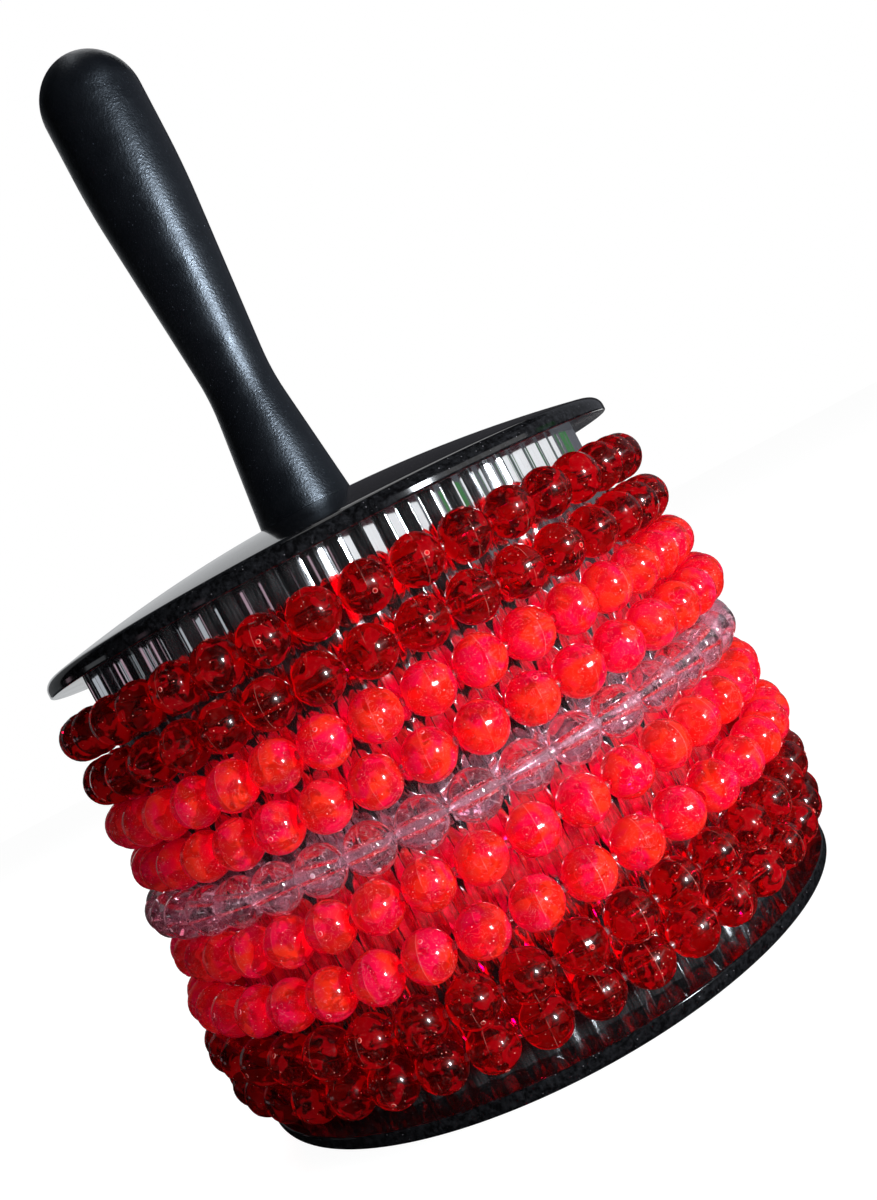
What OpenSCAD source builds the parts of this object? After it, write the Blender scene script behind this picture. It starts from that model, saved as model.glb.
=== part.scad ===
// Cabasa: nine loops of acrylic beads round a fluted chromed drum, between two domed
// end plates, with a club-shaped handle on top. Millimetres, +Z up along the drum's axis.
// The origin is the middle of the flat land that the bottom plate stands on.

/* [End plates] */
// Diameter of both end plates over their rounded rims
plate_d = 156; // [152:1:172]
// Height of a plate's dome above its flat inner face, at the middle
plate_rise = 13.1; // [11:0.1:15]
// Height of the dome above the inner face, carried out to the rim
plate_edge = 3.7; // [3.4:0.1:4.6]
// Radius that rounds the rim into the dome
rim_round = 3; // [1.5:0.1:3.2]
// Radius that breaks the rim's sharp inner edge
rim_break = 0.5; // [0.2:0.1:0.8]
// Wall of the moulded plates
plate_wall = 2.6; // [2:0.1:3.2]
// Diameter of the flat land that the bottom plate stands on
land_d = 90; // [60:1:100]
// Depth of the spigot that centres a plate in the drum core
spigot_depth = 6; // [4:0.5:10]
// Wall of that spigot
spigot_wall = 3.2; // [2:0.1:5]
// Diameter of the top plate's boss, which the centre bolt passes through
boss_d = 16; // [12:0.5:24]
// Number of ribs from the boss out to the spigot
rib_count = 6; // [3:1:12]
// Thickness of each rib
rib_wall = 2; // [1.2:0.1:3]

/* [Drum] */
// Length of the drum between the plates' inner faces
drum_len = 114.6; // [112:0.1:130]
// Diameter of the chromed sleeve over the crests of its flutes
sleeve_d = 138; // [128:0.5:139]
// Number of flutes round the sleeve
flute_count = 78; // [60:1:90]
// Depth of a flute, crest to valley
flute_depth = 0.9; // [0.5:0.1:1.4]
// Width of the narrow flat along each crest and each valley
flute_land = 0.35; // [0.2:0.05:0.6]
// Thickness of the sleeve's sheet
sleeve_wall = 0.6; // [0.4:0.1:1]
// Wall of the wooden core inside the sleeve
core_wall = 8; // [5:0.5:12]

/* [Beads] */
// Diameter of one bead
bead_d = 11.4; // [10:0.1:11.6]
// Least gap between two beads on the tightest loop, which sets how many each loop holds
bead_gap = 0.2; // [0.1:0.05:0.5]
// Clear height between two neighbouring loops
row_gap = 0.3; // [0.3:0.05:0.5]
// Clear height between the lowest loop and the bottom plate
stack_clear = 3.7; // [2:0.1:5]
// Radial slack of the loosest loop on the drum
loop_slack = 3.4; // [3:0.1:4]
// Diameter of the hole through a bead
bead_bore = 2.4; // [2.3:0.1:4]
// Diameter of the cord that the beads are threaded on
cord_d = 1.8; // [1:0.1:1.8]

/* [Handle] */
// Length of the handle from its foot to its rounded end
handle_len = 129.1; // [115:0.1:150]
// Diameter of the handle's foot
foot_d = 25.9; // [24:0.1:27]
// Diameter of the handle at its neck
neck_d = 18.1; // [16:0.1:20]
// Height of the neck above the foot
neck_h = 36.7; // [32:0.1:45]
// Diameter of the grip
grip_d = 26.7; // [25:0.1:30]
// Height where the grip reaches its full diameter
grip_h = 92.9; // [88:0.1:100]
// Radius that blends the two tapers into the neck
neck_blend = 66; // [40:1:80]
// Radius that blends the upper taper into the grip
grip_blend = 215; // [80:5:220]
// Width of the broken edge round the foot
foot_break = 0.8; // [0.4:0.1:1.5]

/* [Fixings] */
// Diameter of the centre bolt's shank
bolt_d = 6; // [5:0.5:6]
// Length of the bolt's tip beyond the insert
bolt_tip = 1.8; // [0.5:0.1:6]
// Diameter of the bolt's pan head
head_d = 12; // [11:0.1:13]
// Height of the bolt's pan head
head_h = 3.6; // [3:0.1:4]
// Width across the flats of the hexagon socket in the head
socket_w = 4; // [3:0.5:5]
// Depth of that socket
socket_depth = 2.2; // [1.5:0.1:2.4]
// Diameter of the washer under the head
washer_d = 18; // [14:0.5:18.5]
// Thickness of the washer
washer_h = 1.6; // [1:0.1:2]
// Diameter of the recess for the head and the washer
recess_d = 20; // [20:0.5:24]
// Depth of that recess below the land
recess_depth = 6.2; // [6:0.1:7]
// Diameter of the brass insert in the handle's foot
insert_d = 9; // [8.5:0.1:10]
// Length of the brass insert
insert_len = 16; // [12:0.5:20]
// Depth left for the bolt's tip beyond the insert
tip_room = 8; // [8:0.5:12]

/* [Hidden] */
// Gap where a loop hangs against the sleeve
loop_seat = 0.3;
// Radial clearance of the bolt in the holes that it passes through
bolt_clear = 0.3;
// Radial clearance of the bolt in the insert's thread
thread_clear = 0.05;
// Radial clearance where the spigots and the sleeve fit the core
core_fit = 0.1;
// Radial clearance of the insert in the handle
insert_fit = 0.02;
// Overrun that carries a cut clear of a face, or a shank into its head
over = 1;
// Width of the top plate's flat seat beyond the handle's foot
seat_margin = 0.4;
// Round at the edge of the bolt head
head_round = 1.4;
// Depth that the insert sits above the handle's foot
insert_sink = 1;

// Loops from the top down: their colours, the first bead's place as a share of the bead
// pitch, their slack as a share of the loosest loop's, and the way that they hang off centre
// as a share of a turn, from the front towards +X
row_colours = ["#7d0a1e", "#7d0a1e", "#f0263c", "#f0263c", "#d9dde0",
               "#f0263c", "#f0263c", "#7d0a1e", "#7d0a1e"];
row_phase_shares = [0.28, 0.79, 0.34, 0.70, 0.27, 0.81, 0.31, 0.73, 0.66];
row_slack_shares = [0.35, 0.40, 0.50, 0.80, 0.90, 0.85, 0.95, 0.95, 1.00];
row_lean_shares = [0.50, 0.10, 0.12, 0.25, 0.50, 0.45, 0.02, 0.95, 0.55];

rows = len(row_colours);
plate_r = plate_d / 2;
// The dome is part of a sphere through its middle and its edge
dome_drop = plate_rise - plate_edge;
dome_r = (plate_r * plate_r + dome_drop * dome_drop) / (2 * dome_drop);
function dome_z(r, wall = 0) =
    plate_rise - dome_r + sqrt((dome_r - wall) * (dome_r - wall) - r * r);
// The rim's round touches both the dome and the rim's upright side
round_x = plate_r - rim_round;
round_z = dome_z(round_x, rim_round);
round_lean = asin(round_x / (dome_r - rim_round));

land_h = dome_z(land_d / 2);
seat_r = foot_d / 2 + seat_margin;
seat_h = dome_z(seat_r);

low_face_z = land_h;
high_face_z = low_face_z + drum_len;
foot_z = high_face_z + seat_h;

crest_r = sleeve_d / 2;
valley_r = crest_r - flute_depth;
core_r = valley_r - sleeve_wall - core_fit;
core_bore_r = core_r - core_wall;
spigot_r = core_bore_r - core_fit;
spigot_in_r = spigot_r - spigot_wall;

row_pitch = bead_d + row_gap;
low_row_z = low_face_z + stack_clear + bead_d / 2;
function row_z(i) = low_row_z + (rows - i) * row_pitch;
function slack(i) = loop_slack * row_slack_shares[i - 1];
function loop_r(i) = crest_r + bead_d / 2 + slack(i);
// Middle of loop i, which hangs against the sleeve on one side
function loop_middle(i) =
    let (way = 360 * row_lean_shares[i - 1], off = slack(i) - loop_seat)
    [off * sin(way), -off * cos(way), row_z(i)];
tight_r = min([for (i = [1:rows]) loop_r(i)]);
beads_per_loop = floor(180 / asin((bead_d + bead_gap) / 2 / tight_r));
bead_pitch = 360 / beads_per_loop;

bolt_hole_r = bolt_d / 2 + bolt_clear;
bolt_foot_z = recess_depth;
bolt_end_z = foot_z + insert_sink + insert_len + bolt_tip;

// Sides of a full circle, and the most that one step of an outline's arc turns and reaches
$fn = 96;
arc_step = 3;
arc_reach = 8;

// Outlines
function unit(v) = v / norm(v);
function turn(a) = a > 180 ? a - 360 : a < -180 ? a + 360 : a;

// Points of an arc about a centre, from angle a0 through a sweep, with or without the first
function arc(centre, r, a0, sweep, first = 0) =
    let (steps = max(2, ceil(abs(sweep) / arc_step), ceil(abs(sweep) * PI / 180 * r / arc_reach)))
    [for (i = [first:steps]) centre + r * [cos(a0 + sweep * i / steps), sin(a0 + sweep * i / steps)]];

// The arc that rounds corner b, between its neighbours a and c
function corner(a, b, c, r) =
    let (u = unit(a - b), v = unit(c - b), half = acos(u * v) / 2,
         centre = b + unit(u + v) * r / sin(half),
         from = b + u * r / tan(half) - centre, to = b + v * r / tan(half) - centre,
         a0 = atan2(from.y, from.x), a1 = atan2(to.y, to.x))
    arc(centre, r, a0, turn(a1 - a0));

// An outline of corners [x, y, radius], where radius 0 leaves a corner sharp
function rounded(path) =
    let (n = len(path), at = [for (p = path) [p.x, p.y]])
    [for (i = [0:n - 1]) each path[i].z > 0
        ? corner(at[(i + n - 1) % n], at[i], at[(i + 1) % n], path[i].z) : [at[i]]];

// Handle: two tapers that meet at the neck, a full grip and a round end
module handle() {
    foot_r = foot_d / 2;
    grip_r = grip_d / 2;
    bore_r = insert_d / 2 + insert_fit;
    bore_depth = insert_sink + insert_len;
    tip_depth = bore_depth + tip_room;
    outline = concat(
        rounded([[bore_r, 0, 0], [foot_r, 0, foot_break], [neck_d / 2 - neck_dip(), neck_h, neck_blend],
                 [grip_r, grip_h, grip_blend], [grip_r, handle_len - grip_r, 0]]),
        arc([0, handle_len - grip_r], grip_r, 0, 90, 1),
        [[0, tip_depth], [bolt_hole_r, tip_depth], [bolt_hole_r, bore_depth], [bore_r, bore_depth]]);
    color("#15161a") translate([0, 0, foot_z]) rotate_extrude() polygon(outline);
}

// The blend lifts the neck's corner, so the corner lies this far inside the neck's radius
function neck_dip() =
    let (down = atan((foot_d - neck_d) / 2 / neck_h), up = atan((grip_d - neck_d) / 2 / (grip_h - neck_h)))
    neck_blend * (1 / cos((down + up) / 2) - 1);

// Brass insert with the thread for the centre bolt
module handle_insert() {
    color("#b89b4e") translate([0, 0, foot_z + insert_sink]) difference() {
        cylinder(d = insert_d, h = insert_len);
        translate([0, 0, -over]) cylinder(r = bolt_d / 2 + thread_clear, h = insert_len + 2 * over);
    }
}

// The shell that both plates share, dome up: its outline runs from the bolt hole over the
// given middle, and from start_r out over the dome, the rim, the flat inner face and the
// spigot, then back under the dome, no higher than the ceiling, to the boss
module plate_shell(middle, start_r, boss_r, ceiling) {
    lean = asin(start_r / dome_r);
    in_r = dome_r - plate_wall;
    in_lean = asin(spigot_in_r / in_r);
    flat_lean = acos((ceiling - plate_rise + dome_r) / in_r);
    rotate_extrude() polygon(concat(
        middle,
        arc([0, plate_rise - dome_r], dome_r, 90 - lean, lean - round_lean),
        arc([round_x, round_z], rim_round, 90 - round_lean, round_lean - 90, 1),
        arc([plate_r - rim_break, rim_break], rim_break, 0, -90),
        [[spigot_r, 0], [spigot_r, -spigot_depth], [spigot_in_r, -spigot_depth]],
        arc([0, plate_rise - dome_r], in_r, 90 - in_lean, in_lean - flat_lean),
        [[boss_r, ceiling], [boss_r, 0], [bolt_hole_r, 0]]));
    for (i = [0:rib_count - 1]) rotate(i * 360 / rib_count) rib(boss_r, ceiling);
}

// One rib, from inside the boss to inside the spigot. Its top edge runs along the middle of
// the wall: under the dome, then level above the ceiling
module rib(boss_r, ceiling) {
    near = boss_r - plate_wall / 2;
    far = spigot_r - spigot_wall / 2;
    mid_r = dome_r - plate_wall / 2;
    level = ceiling + plate_wall / 2;
    far_lean = asin(far / mid_r);
    level_lean = acos((level - plate_rise + dome_r) / mid_r);
    rotate([90, 0, 0]) translate([0, 0, -rib_wall / 2]) linear_extrude(rib_wall)
        polygon(concat(
            [[near, 0], [far, 0]],
            arc([0, plate_rise - dome_r], mid_r, 90 - far_lean, far_lean - level_lean),
            [[near, level]]));
}

module top_plate() {
    boss_r = boss_d / 2;
    color("#101114") translate([0, 0, high_face_z])
        plate_shell([[bolt_hole_r, seat_h]], seat_r, boss_r, dome_z(boss_r, plate_wall));
}

// The bottom plate is the same shell turned over, cut flat to stand on, with a recess for
// the bolt's head
module bottom_plate() {
    floor_z = land_h - recess_depth;
    recess_r = recess_d / 2;
    color("#101114") translate([0, 0, low_face_z]) mirror([0, 0, 1])
        plate_shell([[bolt_hole_r, floor_z], [recess_r, floor_z], [recess_r, land_h]],
                    land_d / 2, recess_r + plate_wall, land_h - plate_wall);
}

// Wooden core: a bored cylinder that the sleeve is wrapped round
module drum_core() {
    color("#c9a978") translate([0, 0, low_face_z]) difference() {
        cylinder(r = core_r, h = drum_len);
        translate([0, 0, -over]) cylinder(r = core_bore_r, h = drum_len + 2 * over);
    }
}

// Outline of the flutes, set in by lift: each has two edges of a crest and two of a valley
function flute_points(lift) =
    let (step = 360 / flute_count)
    [for (i = [0:flute_count - 1], valley = [0, 1], side = [-0.5, 0.5])
        let (r = crest_r - lift - valley * flute_depth,
             a = (i + valley / 2) * step + side * flute_land / r * 180 / PI)
        r * [cos(a), sin(a)]];

// Chromed sleeve: thin sheet rolled into straight flutes
module drum_sleeve() {
    color("#c8ccd2") translate([0, 0, low_face_z]) linear_extrude(drum_len) difference() {
        polygon(flute_points(0));
        polygon(flute_points(sleeve_wall));
    }
}

// Pan-headed bolt from the bottom recess up into the handle
module centre_bolt() {
    color("#a9adb2") translate([0, 0, bolt_foot_z]) {
        difference() {
            rotate_extrude() polygon(rounded([[0, -washer_h - head_h, 0],
                [head_d / 2, -washer_h - head_h, head_round], [head_d / 2, -washer_h, 0], [0, -washer_h, 0]]));
            translate([0, 0, -washer_h - head_h - over])
                cylinder(d = socket_w / cos(30), h = socket_depth + over, $fn = 6);
        }
        translate([0, 0, -washer_h - over])
            cylinder(d = bolt_d, h = bolt_end_z - bolt_foot_z + washer_h + over);
    }
}

module bolt_washer() {
    color("#b9bdc2") translate([0, 0, bolt_foot_z - washer_h]) difference() {
        cylinder(d = washer_d, h = washer_h);
        translate([0, 0, -over]) cylinder(r = bolt_hole_r, h = washer_h + 2 * over);
    }
}

// One bead, turned about its bore, which lies along the cord
module bead() {
    rotate([0, 90, 0]) rotate_extrude() difference() {
        circle(d = bead_d);
        translate([-bead_d / 2, -bead_d / 2]) square([(bead_d + bead_bore) / 2, bead_d]);
    }
}

// Loop i, counted from the top: its beads, and the cord through them
module beads(i) {
    color(row_colours[i - 1]) translate(loop_middle(i))
        for (k = [0:beads_per_loop - 1])
            rotate((k + row_phase_shares[i - 1]) * bead_pitch) translate([0, -loop_r(i), 0]) bead();
}

module cord(i) {
    color("#d8d4cc") translate(loop_middle(i))
        rotate_extrude() translate([loop_r(i), 0]) circle(d = cord_d);
}

handle();
handle_insert();
top_plate();
bottom_plate();
drum_core();
drum_sleeve();
centre_bolt();
bolt_washer();
beads(1);  // beads_1
beads(2);  // beads_2
beads(3);  // beads_3
beads(4);  // beads_4
beads(5);  // beads_5
beads(6);  // beads_6
beads(7);  // beads_7
beads(8);  // beads_8
beads(9);  // beads_9
cord(1);  // cord_1
cord(2);  // cord_2
cord(3);  // cord_3
cord(4);  // cord_4
cord(5);  // cord_5
cord(6);  // cord_6
cord(7);  // cord_7
cord(8);  // cord_8
cord(9);  // cord_9
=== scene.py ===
# Cabasa, dressed for rendering. Metres, +Z up along the drum, photographed from -Y.
import math

import bmesh
import bpy
from mathutils import Matrix, Vector


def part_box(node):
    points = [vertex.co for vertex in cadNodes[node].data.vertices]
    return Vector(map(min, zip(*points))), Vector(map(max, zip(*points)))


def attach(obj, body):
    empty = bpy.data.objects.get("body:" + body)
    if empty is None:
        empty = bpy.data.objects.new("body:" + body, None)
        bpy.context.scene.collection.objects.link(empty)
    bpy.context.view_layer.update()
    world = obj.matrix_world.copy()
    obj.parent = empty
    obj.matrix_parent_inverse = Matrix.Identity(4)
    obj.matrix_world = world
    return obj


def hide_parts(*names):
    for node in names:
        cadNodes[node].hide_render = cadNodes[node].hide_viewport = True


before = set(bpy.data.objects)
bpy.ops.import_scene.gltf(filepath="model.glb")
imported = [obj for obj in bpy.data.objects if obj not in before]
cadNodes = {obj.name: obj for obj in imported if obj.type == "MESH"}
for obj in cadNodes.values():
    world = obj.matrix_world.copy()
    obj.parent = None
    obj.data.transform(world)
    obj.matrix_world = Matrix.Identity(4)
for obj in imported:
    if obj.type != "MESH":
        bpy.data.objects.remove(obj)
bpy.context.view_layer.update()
scene = bpy.context.scene
print("frame loaded:", len(cadNodes), "nodes")


# Small helpers

def mm(*lengths):
    metres = [length / 1000 for length in lengths]
    return metres[0] if len(metres) == 1 else Vector(metres)


def hexColour(code):
    channels = [int(code[i:i + 2], 16) / 255 for i in (1, 3, 5)]
    linear = [c / 12.92 if c <= 0.04045 else ((c + 0.055) / 1.055) ** 2.4 for c in channels]
    return (*linear, 1.0)


def addObject(name, data):
    piece = bpy.data.objects.new(name, data)
    scene.collection.objects.link(piece)
    return piece


def finishMesh(name, work):
    mesh = bpy.data.meshes.new(name)
    work.to_mesh(mesh)
    work.free()
    return mesh


# Helpers for node trees

def addNode(tree, kind, settings=None, inputs=None):
    node = tree.nodes.new(kind)
    for name, value in (settings or {}).items():
        setattr(node, name, value)
    for name, value in (inputs or {}).items():
        if isinstance(value, bpy.types.NodeSocket):
            tree.links.new(value, node.inputs[name])
        else:
            node.inputs[name].default_value = value
    return node


def maths(tree, operation, first, second=None):
    inputs = {0: first} if second is None else {0: first, 1: second}
    return addNode(tree, "ShaderNodeMath", {"operation": operation}, inputs).outputs["Value"]


def ramp(tree, value, start, end, low=0.0, high=1.0, smooth=False):
    # Takes start to low and end to high, and holds those beyond them
    kind = "SMOOTHSTEP" if smooth else "LINEAR"
    node = addNode(tree, "ShaderNodeMapRange", {"interpolation_type": kind}, {
        "Value": value, "From Min": start, "From Max": end, "To Min": low, "To Max": high})
    return node.outputs["Result"]


def objectPlace(tree, scale=1.0, along=1.0):
    # Object coordinates in units of the pattern's own size, drawn out along the drum by 1 / along
    coordinates = addNode(tree, "ShaderNodeTexCoord")
    mapping = addNode(tree, "ShaderNodeMapping", inputs={
        "Vector": coordinates.outputs["Object"], "Scale": (scale, scale, scale * along)})
    return mapping.outputs["Vector"]


def noise(tree, sizeMm, detail, roughness=0.5, distortion=0.0, along=1.0):
    node = addNode(tree, "ShaderNodeTexNoise", {"noise_dimensions": "3D"}, {
        "Vector": objectPlace(tree, 1 / mm(sizeMm), along), "Scale": 1.0, "Detail": detail,
        "Roughness": roughness, "Distortion": distortion})
    return node.outputs["Fac"]


speckEdge = (0.35, 0.65)   # where a speck starts and ends to fade, in parts of its size


def specks(tree, spacing, size):
    # Dust specks: 1 on a speck and 0 between them, spaced and sized in millimetres
    cells = addNode(tree, "ShaderNodeTexVoronoi", {"feature": "F1"}, {
        "Vector": objectPlace(tree, 1 / mm(spacing)), "Scale": 1.0, "Randomness": 1.0})
    start, end = (size / spacing * part for part in speckEdge)
    return ramp(tree, cells.outputs["Distance"], start, end, 1.0, 0.0, smooth=True)


def bumped(tree, height, strength, deepMm):
    node = addNode(tree, "ShaderNodeBump", inputs={
        "Strength": strength, "Distance": mm(deepMm), "Height": height})
    return node.outputs["Normal"]


def socketOf(node, name, output=False):
    # A Mix node has several sockets of one name, one for each kind of data
    sockets = node.outputs if output else node.inputs
    return next(s for s in sockets if s.name == name and s.type == "RGBA")


def blend(tree, share, first, second):
    # Each colour is a code or the socket of another node
    node = addNode(tree, "ShaderNodeMix", {"data_type": "RGBA"}, {"Factor": share})
    for name, colour in (("A", first), ("B", second)):
        if isinstance(colour, str):
            socketOf(node, name).default_value = hexColour(colour)
        else:
            tree.links.new(colour, socketOf(node, name))
    return socketOf(node, "Result", True)


def mixShaders(tree, share, first, second):
    node = addNode(tree, "ShaderNodeMixShader", inputs={"Fac": share, 1: first, 2: second})
    return node.outputs["Shader"]


def principled(tree, inputs):
    return addNode(tree, "ShaderNodeBsdfPrincipled", inputs=inputs).outputs["BSDF"]


def newMaterial(name):
    material = bpy.data.materials.new(name)
    material.use_nodes = True
    tree = material.node_tree
    tree.nodes.clear()
    return material, tree


def finishMaterial(material, tree, surface):
    addNode(tree, "ShaderNodeOutputMaterial", inputs={"Surface": surface})
    return material


# Camera: where the photograph was taken from, close by and rolled

cameraView = {
    "place": mm(0, -323.04, 109.99),
    "yaw": 0.0188,
    "pitch": -0.0374,
    "roll": -0.4842,
    "focalPixels": 1254.74,
    "middlePixel": (400.66, 638.34),
    "framePixels": (877, 1200),
    "sensorMm": 36,
    "nearest": 0.01,
}


def makeCamera(view):
    width, height = view["framePixels"]
    yaw, pitch, roll = view["yaw"], view["pitch"], view["roll"]
    ahead = Vector((math.sin(yaw) * math.cos(pitch), math.cos(yaw) * math.cos(pitch), math.sin(pitch)))
    level = Vector((math.cos(yaw), -math.sin(yaw), 0))
    upright = level.cross(ahead)
    right = math.cos(roll) * level + math.sin(roll) * upright
    up = -math.sin(roll) * level + math.cos(roll) * upright
    data = bpy.data.cameras.new("camera")
    data.sensor_width = view["sensorMm"]
    data.lens = view["focalPixels"] / height * view["sensorMm"]
    data.shift_x = (width / 2 - view["middlePixel"][0]) / height
    data.shift_y = (view["middlePixel"][1] - height / 2) / height
    data.clip_start = view["nearest"]
    camera = addObject("camera", data)
    turn = Matrix((right, up, -ahead)).transposed().to_4x4()
    camera.matrix_world = Matrix.Translation(view["place"]) @ turn
    scene.camera = camera


makeCamera(cameraView)
print("camera placed")


# Materials. Each is named for the real one and how it was made. In their values a noise is its size
# in millimetres, detail, roughness and distortion, a span is where a noise's ramp starts and ends,
# and a bump is its strength and its depth in millimetres

# Black ABS out of a spark-eroded mould: a soft broad sheen. Its grain is drawn about twice as coarse
# as real grain, so that it shows
satinValues = {
    "colour": "#0c0e12", "sheen": "#d9e7f6", "specular": 1.0, "ior": 1.54,
    "grain": (0.65, 2.0, 0.6), "grainBump": (0.8, 0.11),
    "wear": (7, 5.0, 0.7), "wearSpan": (0.35, 0.65), "roughness": (0.28, 0.41),
    "dust": "#565c68", "dustSpacingMm": 1.5, "dustMm": 0.2,
}


def satinMouldedAbs(values):
    material, tree = newMaterial("satin_moulded_abs")
    grain = noise(tree, *values["grain"])
    wear = noise(tree, *values["wear"])
    dust = specks(tree, values["dustSpacingMm"], values["dustMm"])
    body = principled(tree, {
        "Base Color": blend(tree, dust, values["colour"], values["dust"]),
        "Roughness": ramp(tree, wear, *values["wearSpan"], *values["roughness"]),
        "IOR": values["ior"],
        "Specular IOR Level": values["specular"],
        "Specular Tint": hexColour(values["sheen"]),
        "Normal": bumped(tree, grain, *values["grainBump"])})
    return finishMaterial(material, tree, body)


# Black ABS out of a polished mould: a deep wet gloss under a film of dust
glossValues = {
    "colour": "#060607", "ior": 1.54,
    "ripple": (9, 1.0), "rippleBump": (0.1, 0.08),
    "film": (1.2, 5.0, 0.75), "filmSpan": (0.42, 0.72), "filmColour": "#232427",
    "scuffs": (14, 4.0), "scuffSpan": (0.35, 0.75), "roughness": (0.05, 0.13),
    "dust": "#605e62", "dustSpacingMm": 1.5, "dustMm": 0.24,
}


def glossMouldedAbs(values):
    material, tree = newMaterial("gloss_moulded_abs")
    ripple = noise(tree, *values["ripple"])
    scuffs = noise(tree, *values["scuffs"])
    layer = ramp(tree, noise(tree, *values["film"]), *values["filmSpan"])
    dulled = blend(tree, layer, values["colour"], values["filmColour"])
    dust = specks(tree, values["dustSpacingMm"], values["dustMm"])
    body = principled(tree, {
        "Base Color": blend(tree, dust, dulled, values["dust"]),
        "Roughness": ramp(tree, scuffs, *values["scuffSpan"], *values["roughness"]),
        "IOR": values["ior"],
        "Normal": bumped(tree, ripple, *values["rippleBump"])})
    return finishMaterial(material, tree, body)


# Bright chrome over rolled sheet: near mirror, under a thin dusty haze
chromeValues = {
    "colour": "#e2e4e8",
    "film": (0.35, 3.0, 0.65), "filmLong": 18,
    "haze": (0.005, 0.04), "hazeSpan": (0.35, 0.7),
    "roughness": (0.05, 0.13), "roughnessSpan": (0.4, 0.75),
    "flutes": 78, "bulge": (1.0, 0.07),
}


def polishedChrome(values):
    material, tree = newMaterial("polished_chrome_plate")
    # Fine streaks along the flutes, where handling and rolling left the chrome less clear
    film = noise(tree, *values["film"], along=1 / values["filmLong"])
    leastHaze, mostHaze = values["haze"]
    # Rolled sheet springs back a little, so each flat of a flute is faintly bowed between its edges
    place = addNode(tree, "ShaderNodeSeparateXYZ", inputs={"Vector": objectPlace(tree)}).outputs
    bearing = maths(tree, "ARCTAN2", place["Y"], place["X"])
    wave = maths(tree, "SINE", maths(tree, "MULTIPLY", bearing, values["flutes"]))
    body = principled(tree, {
        "Base Color": hexColour(values["colour"]),
        "Metallic": ramp(tree, film, *values["hazeSpan"], 1 - leastHaze, 1 - mostHaze),
        "Roughness": ramp(tree, film, *values["roughnessSpan"], *values["roughness"]),
        "Normal": bumped(tree, maths(tree, "ABSOLUTE", wave), *values["bulge"])})
    return finishMaterial(material, tree, body)


# Turned or zinc-plated metal: fine rings round the drum's axis
metalValues = {
    "turned_brass": {"colour": "#c9a456", "roughness": (0.22, 0.34), "ringMm": 0.4},
    "zinc_plated_steel": {"colour": "#b4b8bd", "roughness": (0.26, 0.38), "ringMm": 0.5},
}
ringValues = {"scale": 0.3, "distortion": 1.5, "detail": 2.0, "bump": (0.3, 0.02)}


def ringedMetal(name, values, rings):
    material, tree = newMaterial(name)
    wave = addNode(tree, "ShaderNodeTexWave", {"wave_type": "RINGS", "rings_direction": "Z"}, {
        "Vector": objectPlace(tree, 1 / mm(values["ringMm"])), "Scale": rings["scale"],
        "Distortion": rings["distortion"], "Detail": rings["detail"]}).outputs["Fac"]
    body = principled(tree, {
        "Base Color": hexColour(values["colour"]),
        "Metallic": 1.0,
        "Roughness": ramp(tree, wave, 0.0, 1.0, *values["roughness"]),
        "Normal": bumped(tree, wave, *rings["bump"])})
    return finishMaterial(material, tree, body)


# Raw beech off the lathe: close grain along the drum, with short darker flecks
woodValues = {
    "light": "#d8b387", "dark": "#b98a5b", "roughness": 0.62, "ior": 1.5,
    "grain": (2.2, 6.0, 0.65), "grainAlong": 0.06, "grainSpan": (0.35, 0.68), "grainBump": (0.4, 0.05),
}


def turnedBeech(values):
    material, tree = newMaterial("turned_beech")
    grain = noise(tree, *values["grain"], along=values["grainAlong"])
    share = ramp(tree, grain, *values["grainSpan"])
    body = principled(tree, {
        "Base Color": blend(tree, share, values["dark"], values["light"]),
        "Roughness": values["roughness"],
        "IOR": values["ior"],
        "Normal": bumped(tree, grain, *values["grainBump"])})
    return finishMaterial(material, tree, body)


# Each acrylic: its colour as glass, lit from the front and lit from behind, how much of the cloudy
# part's light comes from behind, the tint that it gives a lamp's light, how much of it is cloudy,
# evenly and in patches, its painted emission, which stands in for fluorescence, its haze and its
# curled marks, which in the clear beads also serve as painted glints. The seam in the finish is
# given by the half widths, in millimetres, at which it starts and ends to fade
acrylicValues = {
    "garnet": {
        "glass": "#a80024", "front": "#b00018", "behind": "#ff1030", "through": 0.8, "lamp": "#dc1c30",
        "even": 0.03, "patches": 0.85, "patchFrom": 0.515, "patchMm": 3.6,
        "paintedGlow": 0.0, "haze": 0.3, "swirlsAndGlints": 0.06, "fleck": "#ff9c90",
    },
    "coral": {
        "glass": "#f80e3c", "front": "#ff3a10", "magentaPaintedLight": "#ff1050", "behind": "#ff0070",
        "through": 0.42, "lamp": "#dc4870",
        "even": 0.34, "patches": 0.5, "patchFrom": 0.46, "patchMm": 5.0,
        "paintedGlow": 0.04, "haze": 0.15, "swirlsAndGlints": 0.17, "fleck": "#ffa8b8",
    },
    # The clear beads' pinks are painted light: they stand in for the light that the coral beads beside them
    # throw into them
    "clear": {
        "glass": "#fbe2ea", "front": "#e8a8bc", "behind": "#ffb0cc", "through": 0.65, "lamp": "#f2dce4",
        "even": 0.02, "patches": 0.16, "patchFrom": 0.53, "patchMm": 3.0,
        # Its curled marks are strong and white: partly real marks, partly painted glints
        "paintedGlow": 0.0, "haze": 0.15, "swirlsAndGlints": 0.24, "fleck": "#fff0f4",
    },
}
acrylicFinish = {
    "ior": 1.49, "roughness": 0.02, "cloudRoughness": 0.08, "hazeRoughness": 0.25, "fleckRoughness": 0.3,
    "flow": (1.5, 0.5, 0.8), "patchEdge": 0.09,
    "paintedLightNoise": (8.0, 1.0, 0.5, 1.0), "paintedLightSpan": (0.42, 0.6),
    "dustSpacingMm": 1.35, "dustMm": 0.23,
    "seamMm": (0.042, 0.098), "seamShare": 0.2, "seamWear": (5, 2.0), "seamWearSpan": (0.46, 0.6),
    "swirl": (2.6, 2.0, 0.5, 2.2), "swirlSpan": (0.003, 0.014),
    "gateShare": 0.5,
}


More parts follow.
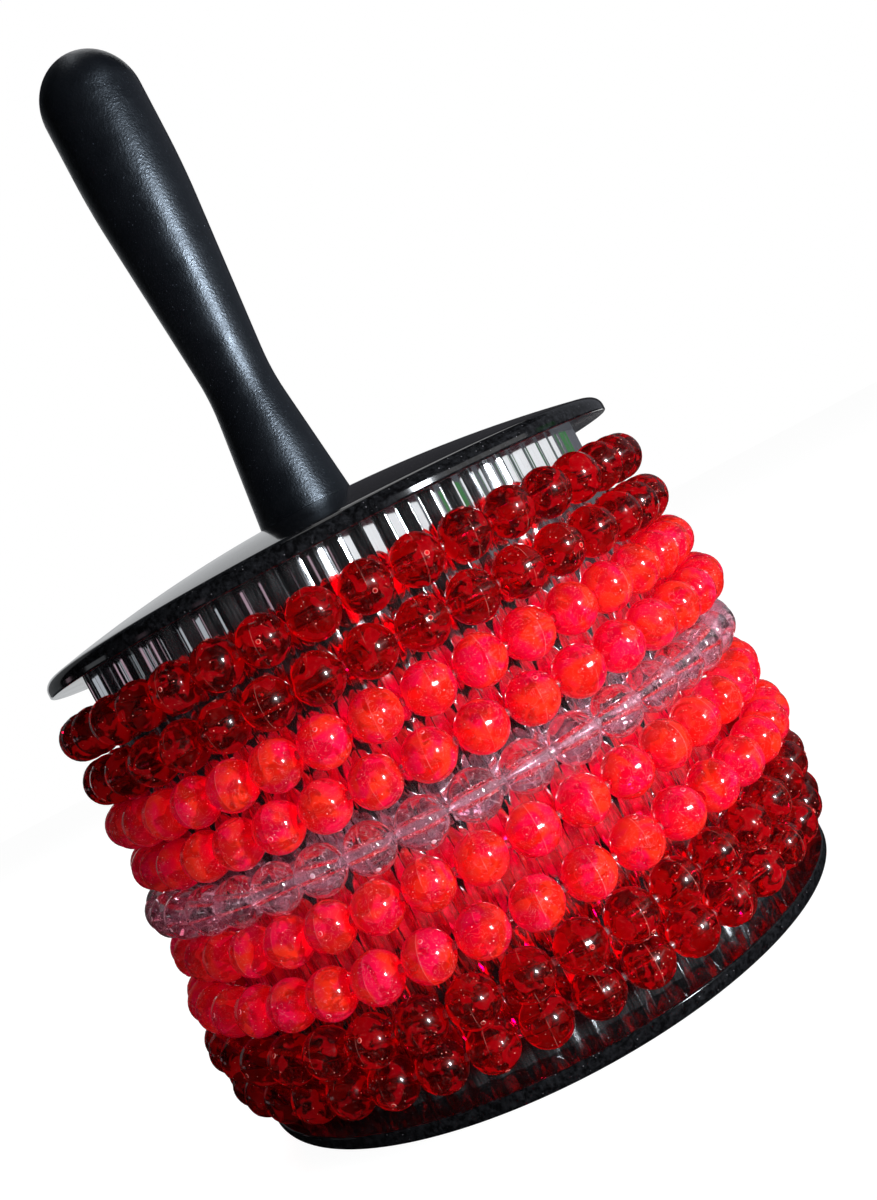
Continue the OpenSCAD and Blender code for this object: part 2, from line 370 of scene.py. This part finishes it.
def seamLine(tree, finish):
    # 1 along the fine line where the mould's halves met, from each bead's own place along its cord
    along = addNode(tree, "ShaderNodeAttribute", {"attribute_name": "along_cord"})
    apart = maths(tree, "ABSOLUTE", along.outputs["Fac"])
    start, end = (mm(half) for half in finish["seamMm"])
    line = ramp(tree, apart, start, end, 1.0, 0.0, smooth=True)
    left = ramp(tree, noise(tree, *finish["seamWear"]), *finish["seamWearSpan"], 0.0, finish["seamShare"])
    return maths(tree, "MULTIPLY", line, left)


def swirlLines(tree, finish):
    # 1 on fine curled marks, such as barrel polishing and the flow in the mould leave. They run where
    # a noise crosses its middle
    fold = maths(tree, "SUBTRACT", noise(tree, *finish["swirl"]), 0.5)
    return ramp(tree, maths(tree, "ABSOLUTE", fold), *finish["swirlSpan"], 1.0, 0.0, smooth=True)


def castAcrylic(name, values, finish):
    # Tinted acrylic, barrel-polished: clear, with cloudy flow patches, dust specks and a fine seam
    material, tree = newMaterial(name)
    flow = noise(tree, values["patchMm"], *finish["flow"])
    start, even = values["patchFrom"], values["even"]
    cloud = ramp(tree, flow, start, start + finish["patchEdge"], even, even + values["patches"], smooth=True)
    coat = {"IOR": finish["ior"], "Coat Weight": values["haze"], "Coat Roughness": finish["hazeRoughness"]}
    glass = principled(tree, {
        "Base Color": hexColour(values["glass"]),
        "Roughness": finish["roughness"],
        "Transmission Weight": 1.0, **coat})
    # Painted light: in broad streaks through each bead the front colour turns magenta, standing in for the
    # light that is focused inside a real bead. The streaks lie at random
    paintedLightShare = ramp(tree, noise(tree, *finish["paintedLightNoise"]), *finish["paintedLightSpan"], smooth=True)
    front = principled(tree, {
        "Base Color": blend(tree, paintedLightShare, values["front"], values.get("magentaPaintedLight", values["front"])),
        "Roughness": finish["cloudRoughness"],
        # The emission is painted light: the coral shines in its behind colour without a lamp, in place of
        # fluorescence
        "Emission Color": hexColour(values["behind"]),
        "Emission Strength": values["paintedGlow"], **coat})
    behind = addNode(tree, "ShaderNodeBsdfTranslucent", inputs={"Color": hexColour(values["behind"])})
    cloudy = mixShaders(tree, values["through"], front, behind.outputs["BSDF"])
    body = mixShaders(tree, cloud, glass, cloudy)
    # Pale marks: dust, curled marks, the worn seam and the rim of the cut gate. In the clear beads the
    # curled marks are drawn strong and white, so that they also serve as painted glints
    dust = specks(tree, finish["dustSpacingMm"], finish["dustMm"])
    curlsAndGlints = maths(tree, "MULTIPLY", swirlLines(tree, finish), values["swirlsAndGlints"])
    gate = addNode(tree, "ShaderNodeAttribute", {"attribute_name": "gate"})
    cut = maths(tree, "MULTIPLY", gate.outputs["Fac"], finish["gateShare"])
    scars = maths(tree, "MAXIMUM", seamLine(tree, finish), cut)
    pale = maths(tree, "MAXIMUM", dust, maths(tree, "MAXIMUM", scars, curlsAndGlints))
    fleck = principled(tree, {
        "Base Color": hexColour(values["fleck"]),
        "Roughness": finish["fleckRoughness"],
        "IOR": finish["ior"]})
    marked = mixShaders(tree, pale, body, fleck)
    # Lamps shine through the beads, tinted, as they do through real ones
    tint = addNode(tree, "ShaderNodeBsdfTransparent", inputs={"Color": hexColour(values["lamp"])})
    path = addNode(tree, "ShaderNodeLightPath")
    shown = mixShaders(tree, path.outputs["Is Shadow Ray"], marked, tint.outputs["BSDF"])
    return finishMaterial(material, tree, shown)


# Drawn nylon line: milky clear, smooth
nylonValues = {
    "colour": "#d6cad0", "streaks": (1.5, 2.0), "roughness": (0.12, 0.3), "ior": 1.53, "clear": 0.9,
}


def nylonCord(values):
    material, tree = newMaterial("drawn_nylon_line")
    body = principled(tree, {
        "Base Color": hexColour(values["colour"]),
        "Roughness": ramp(tree, noise(tree, *values["streaks"]), 0.0, 1.0, *values["roughness"]),
        "IOR": values["ior"],
        "Transmission Weight": values["clear"]})
    return finishMaterial(material, tree, body)


satinBlack = satinMouldedAbs(satinValues)
glossBlack = glossMouldedAbs(glossValues)
chrome = polishedChrome(chromeValues)
beech = turnedBeech(woodValues)
brass, zinc = (ringedMetal(name, values, ringValues) for name, values in metalValues.items())
nylon = nylonCord(nylonValues)
acrylics = {name: castAcrylic(name + "_acrylic", values, acrylicFinish)
            for name, values in acrylicValues.items()}
print("materials made:", len(bpy.data.materials))


# Outlines in millimetres, as (radius, height)

arcStep = math.radians(4)
arcLengthMm = 2.5
turnedCrease = math.radians(28)   # a turned piece is shaded smooth below this angle


def arcPoints(centre, radius, start, sweep, steps=None):
    steps = steps or max(2, math.ceil(abs(sweep) / arcStep))
    return [(centre[0] + radius * math.cos(start + sweep * i / steps),
             centre[1] + radius * math.sin(start + sweep * i / steps)) for i in range(steps + 1)]


def roundCorner(before, corner, after, radius):
    tip = Vector(corner)
    toBefore = (Vector(before) - tip).normalized()
    toAfter = (Vector(after) - tip).normalized()
    half = math.acos(toBefore.dot(toAfter)) / 2
    centre = tip + (toBefore + toAfter).normalized() * radius / math.sin(half)
    first = tip + toBefore * radius / math.tan(half) - centre
    last = tip + toAfter * radius / math.tan(half) - centre
    start = math.atan2(first.y, first.x)
    sweep = math.remainder(math.atan2(last.y, last.x) - start, math.tau)
    steps = max(4, math.ceil(abs(sweep) / arcStep), math.ceil(abs(sweep) * radius / arcLengthMm))
    return arcPoints(centre, radius, start, sweep, steps)


def revolve(name, outline, sides, material, height=0.0, turnedOver=False):
    # A closed outline spun round the Z axis, with points on the axis left as poles
    work = bmesh.new()
    rings = []
    for radius, z in outline:
        across, up = mm(radius), mm(height + (-z if turnedOver else z))
        if radius == 0:
            rings.append([work.verts.new((0, 0, up))])
        else:
            rings.append([work.verts.new((across * math.cos(math.tau * k / sides),
                                          across * math.sin(math.tau * k / sides), up))
                          for k in range(sides)])
    for a, b in zip(rings, rings[1:] + rings[:1]):
        if len(a) == 1 and len(b) == 1:
            continue
        for k in range(sides):
            corners = [a[k % len(a)], a[(k + 1) % len(a)], b[(k + 1) % len(b)], b[k % len(b)]]
            work.faces.new(list(dict.fromkeys(corners)))
    bmesh.ops.recalc_face_normals(work, faces=work.faces)
    for face in work.faces:
        face.smooth = True
    for edge in work.edges:
        if len(edge.link_faces) == 2 and edge.calc_face_angle() > turnedCrease:
            edge.smooth = False
    piece = addObject(name, finishMesh(name, work))
    piece.data.materials.append(material)
    return piece


# Handle: a club with a narrow neck, a full grip and a round end

handleForm = {
    "footRadius": 12.95, "footBreak": 0.8, "neckRadius": 9.05, "neckHeight": 36.7, "neckBlend": 66,
    "gripRadius": 13.35, "gripHeight": 92.9, "gripBlend": 215, "length": 129.1,
    "boreRadius": 4.52, "boreDepth": 17, "tipRadius": 3.3, "tipDepth": 25, "sides": 96,
}


def handleOutline(form):
    down = math.atan((form["footRadius"] - form["neckRadius"]) / form["neckHeight"])
    up = math.atan((form["gripRadius"] - form["neckRadius"]) / (form["gripHeight"] - form["neckHeight"]))
    dip = form["neckBlend"] * (1 / math.cos((down + up) / 2) - 1)
    bore = (form["boreRadius"], 0)
    foot = (form["footRadius"], 0)
    neck = (form["neckRadius"] - dip, form["neckHeight"])
    grip = (form["gripRadius"], form["gripHeight"])
    crown = form["length"] - form["gripRadius"]
    outline = [bore]
    outline += roundCorner(bore, foot, neck, form["footBreak"])
    outline += roundCorner(foot, neck, grip, form["neckBlend"])
    outline += roundCorner(neck, grip, (form["gripRadius"], crown), form["gripBlend"])
    outline += arcPoints((0, crown), form["gripRadius"], 0, math.pi / 2)[:-1]
    outline += [(0, form["length"]), (0, form["tipDepth"]), (form["tipRadius"], form["tipDepth"]),
                (form["tipRadius"], form["boreDepth"]), (form["boreRadius"], form["boreDepth"])]
    return outline


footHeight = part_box("handle")[0].z * 1000
handle = revolve("handle_club", handleOutline(handleForm), handleForm["sides"], satinBlack, footHeight)
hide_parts("handle")
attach(handle, "drum")
print("handle made")


# Geometry node trees for what repeats

def newTree(name, sockets):
    tree = bpy.data.node_groups.new(name, "GeometryNodeTree")
    tree.interface.new_socket("Geometry", in_out="OUTPUT", socket_type="NodeSocketGeometry")
    for socket, kind in sockets.items():
        tree.interface.new_socket(socket, in_out="INPUT", socket_type="NodeSocket" + kind)
    return tree, addNode(tree, "NodeGroupInput").outputs


def finishTree(tree, geometry, material):
    coated = addNode(tree, "GeometryNodeSetMaterial", inputs={"Geometry": geometry, "Material": material})
    addNode(tree, "NodeGroupOutput", inputs={"Geometry": coated.outputs["Geometry"]})
    return tree


def evenAngles(tree, count):
    # The angle of each point, where count of them make a turn
    index = addNode(tree, "GeometryNodeInputIndex")
    return maths(tree, "MULTIPLY", index.outputs["Index"], maths(tree, "DIVIDE", math.tau, count))


def turnAbout(tree, axis, angle):
    return addNode(tree, "ShaderNodeCombineXYZ", inputs={axis: angle}).outputs["Vector"]


def meshFromNodes(name, tree, inputs):
    # Runs the tree on an empty mesh and keeps the result as a plain mesh
    holder = addObject(name + "_nodes", bpy.data.meshes.new(name + "_nodes"))
    modifier = holder.modifiers.new("nodes", "NODES")
    modifier.node_group = tree
    for item in tree.interface.items_tree:
        if item.in_out == "INPUT" and item.name in inputs:
            modifier[item.identifier] = inputs[item.name]
    scene.view_layers[0].update()
    evaluated = holder.evaluated_get(bpy.context.evaluated_depsgraph_get())
    mesh = bpy.data.meshes.new_from_object(evaluated)
    mesh.name = name
    holder.modifiers.clear()
    bpy.data.objects.remove(holder)
    return addObject(name, mesh)


# End plates: thin moulded domes with a rounded rim, a flat inner face, a spigot, a boss and ribs

plateForm = {
    "radius": 78, "rise": 13.1, "edge": 3.7, "rimRound": 3, "rimBreak": 0.5, "wall": 2.6,
    "landRadius": 45, "spigotRadius": 59.3, "spigotDepth": 6, "spigotWall": 3.2,
    "bossRadius": 8, "holeRadius": 3.3, "recessRadius": 10, "recessDepth": 6.2, "seatMargin": 0.4,
    "ribs": 6, "ribWall": 2, "ribLift": 0.02, "sides": 192, "bandMm": 3,
}


def domeOf(form):
    # The dome's outer radius and the height of its centre
    drop = form["rise"] - form["edge"]
    radius = (form["radius"] ** 2 + drop ** 2) / (2 * drop)
    return radius, form["rise"] - radius


def plateOutline(form, bottom):
    wall = form["wall"]
    dome, centre = domeOf(form)
    inner = dome - wall

    def domeHeight(r, depth=0.0):
        return centre + math.sqrt((dome - depth) ** 2 - r * r)

    def domeArc(size, fromR, toR):
        steps = max(3, math.ceil(abs(toR - fromR) / form["bandMm"]))
        radii = [fromR + (toR - fromR) * i / steps for i in range(steps + 1)]
        return [(r, centre + math.sqrt(size ** 2 - r ** 2)) for r in radii]

    rimX = form["radius"] - form["rimRound"]
    rimZ = domeHeight(rimX, form["rimRound"])
    rimLean = math.asin(rimX / (dome - form["rimRound"]))
    innerSpigot = form["spigotRadius"] - form["spigotWall"]
    if bottom:
        landHeight = domeHeight(form["landRadius"])
        recessFloor = landHeight - form["recessDepth"]
        middle = [(form["holeRadius"], recessFloor), (form["recessRadius"], recessFloor),
                  (form["recessRadius"], landHeight)]
        start, boss, ceiling = form["landRadius"], form["recessRadius"] + wall, landHeight - wall
    else:
        start = handleForm["footRadius"] + form["seatMargin"]
        middle = [(form["holeRadius"], domeHeight(start))]
        boss = form["bossRadius"]
        ceiling = domeHeight(boss, wall)
    level = math.sqrt(inner ** 2 - (ceiling - centre) ** 2)
    breakX = form["radius"] - form["rimBreak"]
    outline = middle + domeArc(dome, start, dome * math.sin(rimLean))
    outline += arcPoints((rimX, rimZ), form["rimRound"], math.pi / 2 - rimLean, rimLean - math.pi / 2)[1:]
    outline += arcPoints((breakX, form["rimBreak"]), form["rimBreak"], 0, -math.pi / 2)
    outline += [(form["spigotRadius"], 0), (form["spigotRadius"], -form["spigotDepth"]),
                (innerSpigot, -form["spigotDepth"])]
    outline += domeArc(inner, innerSpigot, max(level, boss + 0.01))
    outline += [(boss, ceiling), (boss, 0), (form["holeRadius"], 0)]
    return outline, boss, ceiling


def ribPiece(form, boss, ceiling, height, turnedOver):
    # One rib, from inside the boss to inside the spigot, its top edge along the middle of the wall
    dome, centre = domeOf(form)
    middle = dome - form["wall"] / 2
    level = ceiling + form["wall"] / 2
    near = boss - form["wall"] / 2
    far = form["spigotRadius"] - form["spigotWall"] / 2
    inward = math.sqrt(middle ** 2 - (level - centre) ** 2)
    steps = math.ceil((far - inward) / form["bandMm"])
    radii = [far + (inward - far) * i / steps for i in range(steps + 1)]
    outline = [(near, form["ribLift"]), (far, form["ribLift"])]
    outline += [(r, centre + math.sqrt(middle ** 2 - r * r)) for r in radii]
    outline += [(near, level)]
    work = bmesh.new()
    sign = -1 if turnedOver else 1
    sides = [[work.verts.new(mm(r, side * form["ribWall"] / 2, height + sign * z)) for r, z in outline]
             for side in (-1, 1)]
    for k in range(len(outline)):
        after = (k + 1) % len(outline)
        work.faces.new((sides[0][k], sides[0][after], sides[1][after], sides[1][k]))
    work.faces.new(sides[0])
    work.faces.new(sides[1])
    bmesh.ops.recalc_face_normals(work, faces=work.faces)
    return addObject("plate_rib", finishMesh("plate_rib", work))


def ribbedTree():
    # The turned shell, with ribs at equal angles inside it
    tree, given = newTree("ribbed_plate", {
        "Shell": "Object", "Rib": "Object", "Ribs": "Int", "Finish": "Material"})
    shell = addNode(tree, "GeometryNodeObjectInfo", inputs={"Object": given["Shell"]})
    rib = addNode(tree, "GeometryNodeObjectInfo", inputs={"Object": given["Rib"]})
    spots = addNode(tree, "GeometryNodeMeshLine", inputs={"Count": given["Ribs"], "Offset": (0, 0, 0)})
    placed = addNode(tree, "GeometryNodeInstanceOnPoints", inputs={
        "Points": spots.outputs["Mesh"], "Instance": rib.outputs["Geometry"],
        "Rotation": turnAbout(tree, "Z", evenAngles(tree, given["Ribs"]))})
    both = addNode(tree, "GeometryNodeJoinGeometry")
    tree.links.new(placed.outputs["Instances"], both.inputs["Geometry"])
    tree.links.new(shell.outputs["Geometry"], both.inputs["Geometry"])
    real = addNode(tree, "GeometryNodeRealizeInstances", inputs={"Geometry": both.outputs["Geometry"]})
    return finishTree(tree, real.outputs["Geometry"], given["Finish"])


ribbedPlates = ribbedTree()
plates = (("top_end_plate", "top_plate", False), ("bottom_end_plate", "bottom_plate", True))
for plateName, nodeName, bottom in plates:
    outline, bossRadius, ceiling = plateOutline(plateForm, bottom)
    lowest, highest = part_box("drum_core")
    innerFace = (lowest.z if bottom else highest.z) * 1000
    shell = revolve(plateName + "_shell", outline, plateForm["sides"], glossBlack, innerFace, bottom)
    rib = ribPiece(plateForm, bossRadius, ceiling, innerFace, bottom)
    plate = meshFromNodes(plateName, ribbedPlates, {
        "Shell": shell, "Rib": rib, "Ribs": plateForm["ribs"], "Finish": glossBlack})
    bpy.data.objects.remove(shell)
    bpy.data.objects.remove(rib)
    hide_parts(nodeName)
    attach(plate, "drum")
print("end plates made")


# Bead loops: a lathe-turned bead repeated round each cord by a node tree

beadForm = {
    "radius": 5.66, "bore": 1.2, "ridgeHalfWidth": 0.1, "ridgeHeight": 0.03, "sides": 32, "bands": 8,
    # The gate's stub: its middle along the cord, and each of its rings as the height over the ball,
    # the radius and 1 where it is paler
    "gateAlong": 1.0, "gateSides": 12,
    "gateRings": ((-0.1, 0.55, 1), (0.03, 0.473, 1), (0.02, 0.33, 0)),
    "crease": math.radians(40),
}
loopForm = {
    "count": 41, "phaseShares": (0.28, 0.79, 0.34, 0.70, 0.27, 0.81, 0.31, 0.73, 0.66),
    "leanDegrees": 7.0,
    "acrylics": ("garnet", "garnet", "coral", "coral", "clear", "coral", "coral", "garnet", "garnet"),
}


def beadMesh(form):
    # Axis along X, the way that the cord runs. The outline is the wall of the bore, then the ball
    ball, sides = form["radius"], form["sides"]
    mouth = math.asin(form["bore"] / ball)
    ridge = form["ridgeHalfWidth"] / ball
    leans = [mouth + (math.pi / 2 - ridge - mouth) * i / form["bands"] for i in range(form["bands"] + 1)]
    half = [(-ball * math.cos(a), ball * math.sin(a)) for a in leans]
    outline = half + [(0, ball + form["ridgeHeight"])] + [(-x, r) for x, r in reversed(half)]
    work = bmesh.new()
    rings = [[work.verts.new(mm(x, r * math.cos(math.tau * k / sides), r * math.sin(math.tau * k / sides)))
              for k in range(sides)] for x, r in outline]
    for a, b in zip(rings, rings[1:] + rings[:1]):
        for k in range(sides):
            after = (k + 1) % sides
            work.faces.new((a[k], a[after], b[after], b[k]))
    # The gate: a low round stub with a paler rim, where the bead was cut from its runner
    gate = work.verts.layers.float.new("gate")
    corners = form["gateSides"]
    stub = []
    for height, size, pale in form["gateRings"]:
        stub.append([work.verts.new(mm(form["gateAlong"] + size * math.cos(math.tau * k / corners),
                                       size * math.sin(math.tau * k / corners), ball + height))
                     for k in range(corners)])
        for corner in stub[-1]:
            corner[gate] = pale
    for inner, outer in zip(stub, stub[1:]):
        for k in range(corners):
            after = (k + 1) % corners
            work.faces.new((inner[k], inner[after], outer[after], outer[k]))
    work.faces.new(stub[-1])
    work.faces.new(reversed(stub[0]))
    bmesh.ops.recalc_face_normals(work, faces=work.faces)
    for face in work.faces:
        face.smooth = len(face.verts) == 4
    for edge in work.edges:
        if edge.calc_face_angle(0) > form["crease"]:
            edge.smooth = False
    return finishMesh("bead", work)


def loopTree():
    # One tree for all loops: a ring of points, a bead on each, turned about the cord at random
    tree, given = newTree("bead_loop", {
        "Bead": "Object", "Count": "Int", "Loop Radius": "Float", "Middle": "Vector",
        "Start Turn": "Float", "Most Lean": "Float", "Seed": "Int", "Finish": "Material"})
    ring = addNode(tree, "GeometryNodeMeshCircle", {"fill_type": "NONE"}, {
        "Vertices": given["Count"], "Radius": given["Loop Radius"]})
    facing = maths(tree, "ADD", evenAngles(tree, given["Count"]), math.pi / 2)
    # Each bead keeps its own distance along the cord, which the seam's material reads
    bead = addNode(tree, "GeometryNodeObjectInfo", inputs={"Object": given["Bead"]})
    spot = addNode(tree, "GeometryNodeInputPosition")
    parts = addNode(tree, "ShaderNodeSeparateXYZ", inputs={"Vector": spot.outputs["Position"]})
    marked = addNode(tree, "GeometryNodeStoreNamedAttribute", {"data_type": "FLOAT", "domain": "POINT"}, {
        "Geometry": bead.outputs["Geometry"], "Name": "along_cord", "Value": parts.outputs["X"]})
    placed = addNode(tree, "GeometryNodeInstanceOnPoints", inputs={
        "Points": ring.outputs["Mesh"], "Instance": marked.outputs["Geometry"],
        "Rotation": turnAbout(tree, "Z", facing)})
    # Sockets 2 and 3 of a random value are its least and most as a plain number
    spin = addNode(tree, "FunctionNodeRandomValue", {"data_type": "FLOAT"}, {
        "Seed": given["Seed"], 2: 0.0, 3: math.tau})
    lean = addNode(tree, "FunctionNodeRandomValue", {"data_type": "FLOAT"}, {
        "Seed": given["Seed"], 2: maths(tree, "MULTIPLY", given["Most Lean"], -1.0), 3: given["Most Lean"]})
    spun = addNode(tree, "GeometryNodeRotateInstances", inputs={
        "Instances": placed.outputs["Instances"], "Rotation": turnAbout(tree, "X", spin.outputs[1])})
    leant = addNode(tree, "GeometryNodeRotateInstances", inputs={
        "Instances": spun.outputs["Instances"], "Rotation": turnAbout(tree, "Z", lean.outputs[1])})
    real = addNode(tree, "GeometryNodeRealizeInstances", inputs={"Geometry": leant.outputs["Instances"]})
    moved = addNode(tree, "GeometryNodeTransform", inputs={
        "Geometry": real.outputs["Geometry"], "Translation": given["Middle"],
        "Rotation": turnAbout(tree, "Z", given["Start Turn"])})
    return finishTree(tree, moved.outputs["Geometry"], given["Finish"])


beadSource = addObject("bead_source", beadMesh(beadForm))
beadLoops = loopTree()
for row, finishName in enumerate(loopForm["acrylics"], 1):
    low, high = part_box(f"cord_{row}")
    middle = (low + high) / 2
    cordRadius = (high.z - low.z) / 2
    loopRadius = (high.x - low.x) / 2 - cordRadius
    # Bead k sits at (k + phase) bead pitches, counted from the front
    startTurn = loopForm["phaseShares"][row - 1] * math.tau / loopForm["count"] - math.pi / 2
    loop = meshFromNodes(f"bead_string_{row}", beadLoops, {
        "Bead": beadSource, "Count": loopForm["count"], "Loop Radius": loopRadius, "Middle": middle,
        "Start Turn": startTurn, "Most Lean": math.radians(loopForm["leanDegrees"]), "Seed": row,
        "Finish": acrylics[finishName]})
    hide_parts(f"beads_{row}")
    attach(loop, f"bead_loop_{row}")
bpy.data.objects.remove(beadSource)
print("bead loops made:", len(loopForm["acrylics"]))


# The CAD pieces whose shape is right get their finish

carried = {"drum_sleeve": chrome, "drum_core": beech, "handle_insert": brass, "centre_bolt": zinc,
           "bolt_washer": zinc}
carried.update({f"cord_{row}": nylon for row in range(1, len(loopForm["acrylics"]) + 1)})
for nodeName, material in carried.items():
    cadNodes[nodeName].data.materials.clear()
    cadNodes[nodeName].data.materials.append(material)
print("carried pieces finished")


# Stage: white floor and surroundings, dark cards that the chrome mirrors, lamps

white = (1, 1, 1, 1)
stageValues = {
    "fill": 0.12,
    # The floor is white by itself by its share, and by its paint for the rest
    "floorSize": 6.0, "floorPaint": 0.8, "floorShare": 0.7, "floorWhite": 1.36, "floorDrop": 0.0003,
    # Bearing from the front towards +X and height in degrees, distance, width and height in
    # metres, the light that it throws on the drum, its colour, and whether mirrors show it
    "lamps": {
        "key": (35.0, -1.5, 0.45, 0.07, 0.07, 1.95, "#fffcfa", False),
        "window": (37.0, 8.0, 1.1, 0.12, 0.2, 2.6, "#eef4fa", True),
        "behind": (205.0, 50.0, 1.3, 0.5, 0.5, 1.2, "#f6f8fa", False),
    },
    "cardStepDegrees": 8,
    # Cards that the chrome mirrors. Each group has the two edges of its cards, as (distance, height)
    # in metres, and then each card's bearings in degrees and its tone
    "cards": (
        ((1.2, -0.6), (1.2, 0.9), {
            "left_back": (-178, -152, "#d0d2d4"),
            "left_grey": (-152, -128, "#5c5e60"),
            "front_black": (-128, 45, "#08080a"),
            "right_grey": (83, 150, "#606268"),
            "back_grey": (150, 182, "#38383c"),
        }),
        # Strips in front of them
        ((1.19, 0.11), (1.19, 0.22), {
            "pink_strip_far": (-121, -117, "#c4a6b2"),
            "silver_strip": (-104, -91, "#b4b8bc"),
            "pink_strip_near": (-73, -69, "#b89aa6"),
            "pink_strip_mid": (-48, -44, "#b89aa6"),
            "green_strip": (89, 100, "#3c7a44"),
        }),
        # The white that the sleeve's top mirrors at the right ends at a low and a high card
        # The low card's dark red is a painted reflection: it stands in for the red light that the beads
        # throw on the sleeve
        ((1.2, 0), (1.2, 0.135), {"right_low": (45, 83, "#42222a")}),
        ((1.2, 0.27), (1.2, 0.9), {"right_high": (45, 83, "#2c2e33")}),
        # Hoods over the object
        ((1.2, 0.9), (0.15, 1.5), {
            "front_hood": (-128, 39, "#060607"),
            "right_hood": (39, 150, "#1c1d20"),
            "left_hood": (-178, -128, "#2c2e32"),
        }),
        # Flat on the floor
        ((0.05, 0.0002), (1.2, 0.0002), {
            "front_floor": (-128, 39, "#060607"),
            "right_floor": (39, 150, "#16171a"),
            "left_floor": (-178, -128, "#2c2e32"),
        }),
    ),
}


def backgroundRays(tree):
    # 1 for what the camera, a mirror or clear glass sees, and 0 for what lights the object
    path = addNode(tree, "ShaderNodeLightPath").outputs
    mirrored = maths(tree, "MAXIMUM", path["Is Camera Ray"], path["Is Glossy Ray"])
    return maths(tree, "MAXIMUM", mirrored, path["Is Transmission Ray"])


def makeWorld(values):
    world = bpy.data.worlds.new("surroundings")
    scene.world = world
    world.use_nodes = True
    tree = world.node_tree
    tree.nodes.clear()
    lighting = addNode(tree, "ShaderNodeBackground", inputs={"Color": white, "Strength": values["fill"]})
    seen = addNode(tree, "ShaderNodeBackground", inputs={"Color": white, "Strength": 1.0})
    both = mixShaders(tree, backgroundRays(tree), lighting.outputs["Background"], seen.outputs["Background"])
    addNode(tree, "ShaderNodeOutputWorld", inputs={"Surface": both})


def plane(name, corners, faces, material):
    mesh = bpy.data.meshes.new(name)
    mesh.from_pydata(corners, [], faces)
    mesh.materials.append(material)
    piece = addObject(name, mesh)
    return piece


def makeFloor(values):
    material, tree = newMaterial("white_floor")
    paint = addNode(tree, "ShaderNodeBsdfDiffuse", inputs={"Color": (*[values["floorPaint"]] * 3, 1)})
    shine = addNode(tree, "ShaderNodeEmission", inputs={"Color": white, "Strength": values["floorWhite"]})
    share = maths(tree, "MULTIPLY", backgroundRays(tree), values["floorShare"])
    both = mixShaders(tree, share, paint.outputs["BSDF"], shine.outputs["Emission"])
    reach = values["floorSize"] / 2
    corners = [(-reach, -reach, 0), (reach, -reach, 0), (reach, reach, 0), (-reach, reach, 0)]
    floor = plane("floor", corners, [range(4)], finishMaterial(material, tree, both))
    floor.location.z = -values["floorDrop"]


def cardPaint(name, tone):
    material, tree = newMaterial(name)
    paint = addNode(tree, "ShaderNodeEmission", inputs={"Color": hexColour(tone), "Strength": 1.0})
    return finishMaterial(material, tree, paint.outputs["Emission"])


def curvedCard(name, first, last, tone, edges, stepDegrees):
    # A card between two bearings round the object. The camera never sees it, only what mirrors it
    steps = max(2, round(abs(last - first) / stepDegrees))
    bearings = [math.radians(first + (last - first) * i / steps) for i in range(steps + 1)]
    corners = [(far * math.sin(a), -far * math.cos(a), z) for far, z in edges for a in bearings]
    faces = [(i, i + 1, i + steps + 2, i + steps + 1) for i in range(steps)]
    card = plane(name, corners, faces, cardPaint(name, tone))
    card.visible_camera = False
    card.visible_diffuse = False
    card.visible_shadow = False


def makeCards(values):
    for inner, outer, cards in values["cards"]:
        for name, (first, last, tone) in cards.items():
            curvedCard(name, first, last, tone, (inner, outer), values["cardStepDegrees"])


def makeLamp(name, aim, bearing, height, distance, width, tall, light, colour, mirrored):
    data = bpy.data.lights.new(name, "AREA")
    data.shape = "ELLIPSE" if width == tall else "RECTANGLE"
    data.size = width
    data.size_y = tall
    data.energy = light * math.pi * distance ** 2
    data.color = hexColour(colour)[:3]
    lamp = addObject(name, data)
    bearing, height = math.radians(bearing), math.radians(height)
    way = Vector((math.sin(bearing) * math.cos(height), -math.cos(bearing) * math.cos(height),
                  math.sin(height)))
    lamp.location = aim + way * distance
    lamp.rotation_euler = way.to_track_quat("Z", "Y").to_euler()
    lamp.visible_camera = False
    lamp.visible_glossy = mirrored


makeWorld(stageValues)
makeFloor(stageValues)
makeCards(stageValues)
drumLow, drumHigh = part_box("drum_core")
for lampName, lampValues in stageValues["lamps"].items():
    makeLamp(lampName, Vector((0, 0, (drumLow.z + drumHigh.z) / 2)), *lampValues)
scene.view_settings.view_transform = "Standard"
print("stage set")
